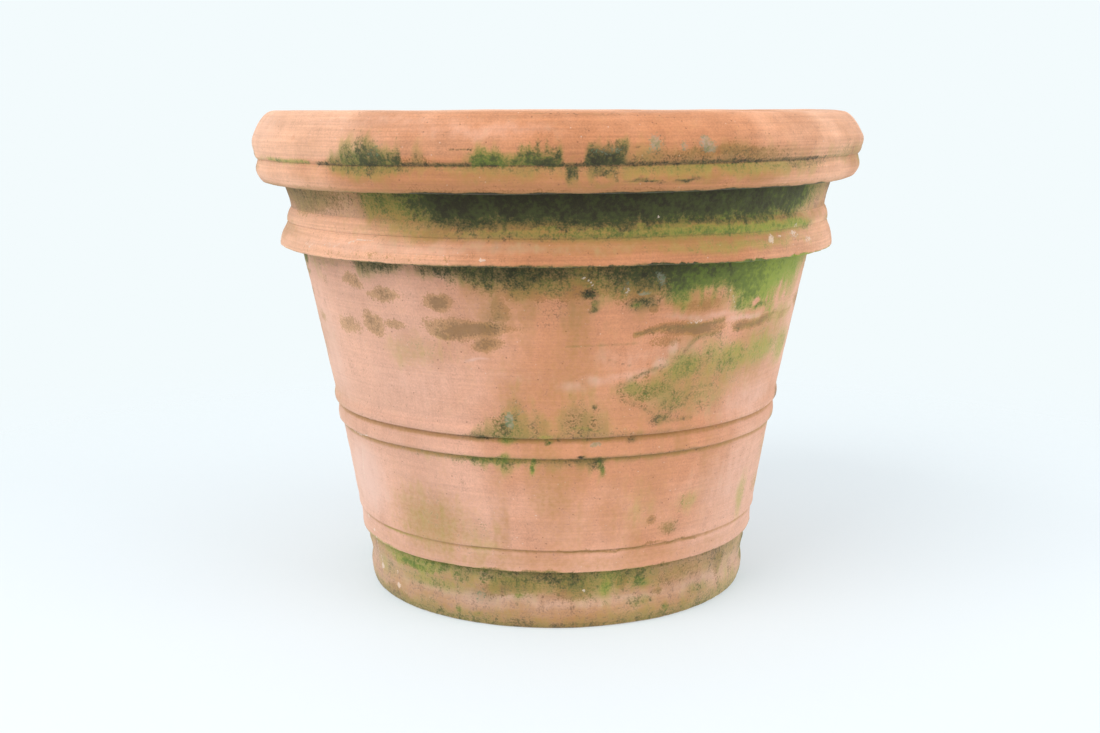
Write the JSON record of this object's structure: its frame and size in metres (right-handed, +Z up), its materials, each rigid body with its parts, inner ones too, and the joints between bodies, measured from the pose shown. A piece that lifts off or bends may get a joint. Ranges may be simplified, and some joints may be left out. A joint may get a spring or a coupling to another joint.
{
  "type": "terracotta pot",
  "caption": "Round tapered terracotta garden pot with a heavy double rim, a hollow neck, a collar, a double cordon at half height, a moulded foot and a drainage hole.",
  "frame": {"origin": "centre of the foot's underside, on the ground", "axes": "+Z up along the pot's turning axis, +X and +Y level"},
  "size_m": [0.6, 0.6, 0.472],
  "materials": {
    "rim_clay": "unglazed fired clay, orange, finely ridged by turning, with green algae in its grooves",
    "wall_clay": "unglazed fired clay, salmon pink, with olive stains, lime bloom and small dark specks",
    "neck_clay": "unglazed fired clay under dark olive algae",
    "foot_clay": "unglazed fired clay, brown and green with damp soil stains"
  },
  "bodies": {
    "root": {"floor_slab": "foot_clay", "foot_ring": "foot_clay", "lower_band": "wall_clay", "lower_wall": "wall_clay", "lower_cordon": "wall_clay", "upper_wall": "wall_clay", "collar": "rim_clay", "collar_fillet": "rim_clay", "neck": "neck_clay", "rim_bead": "rim_clay", "rim_roll": "rim_clay"}
  },
  "joints": []
}
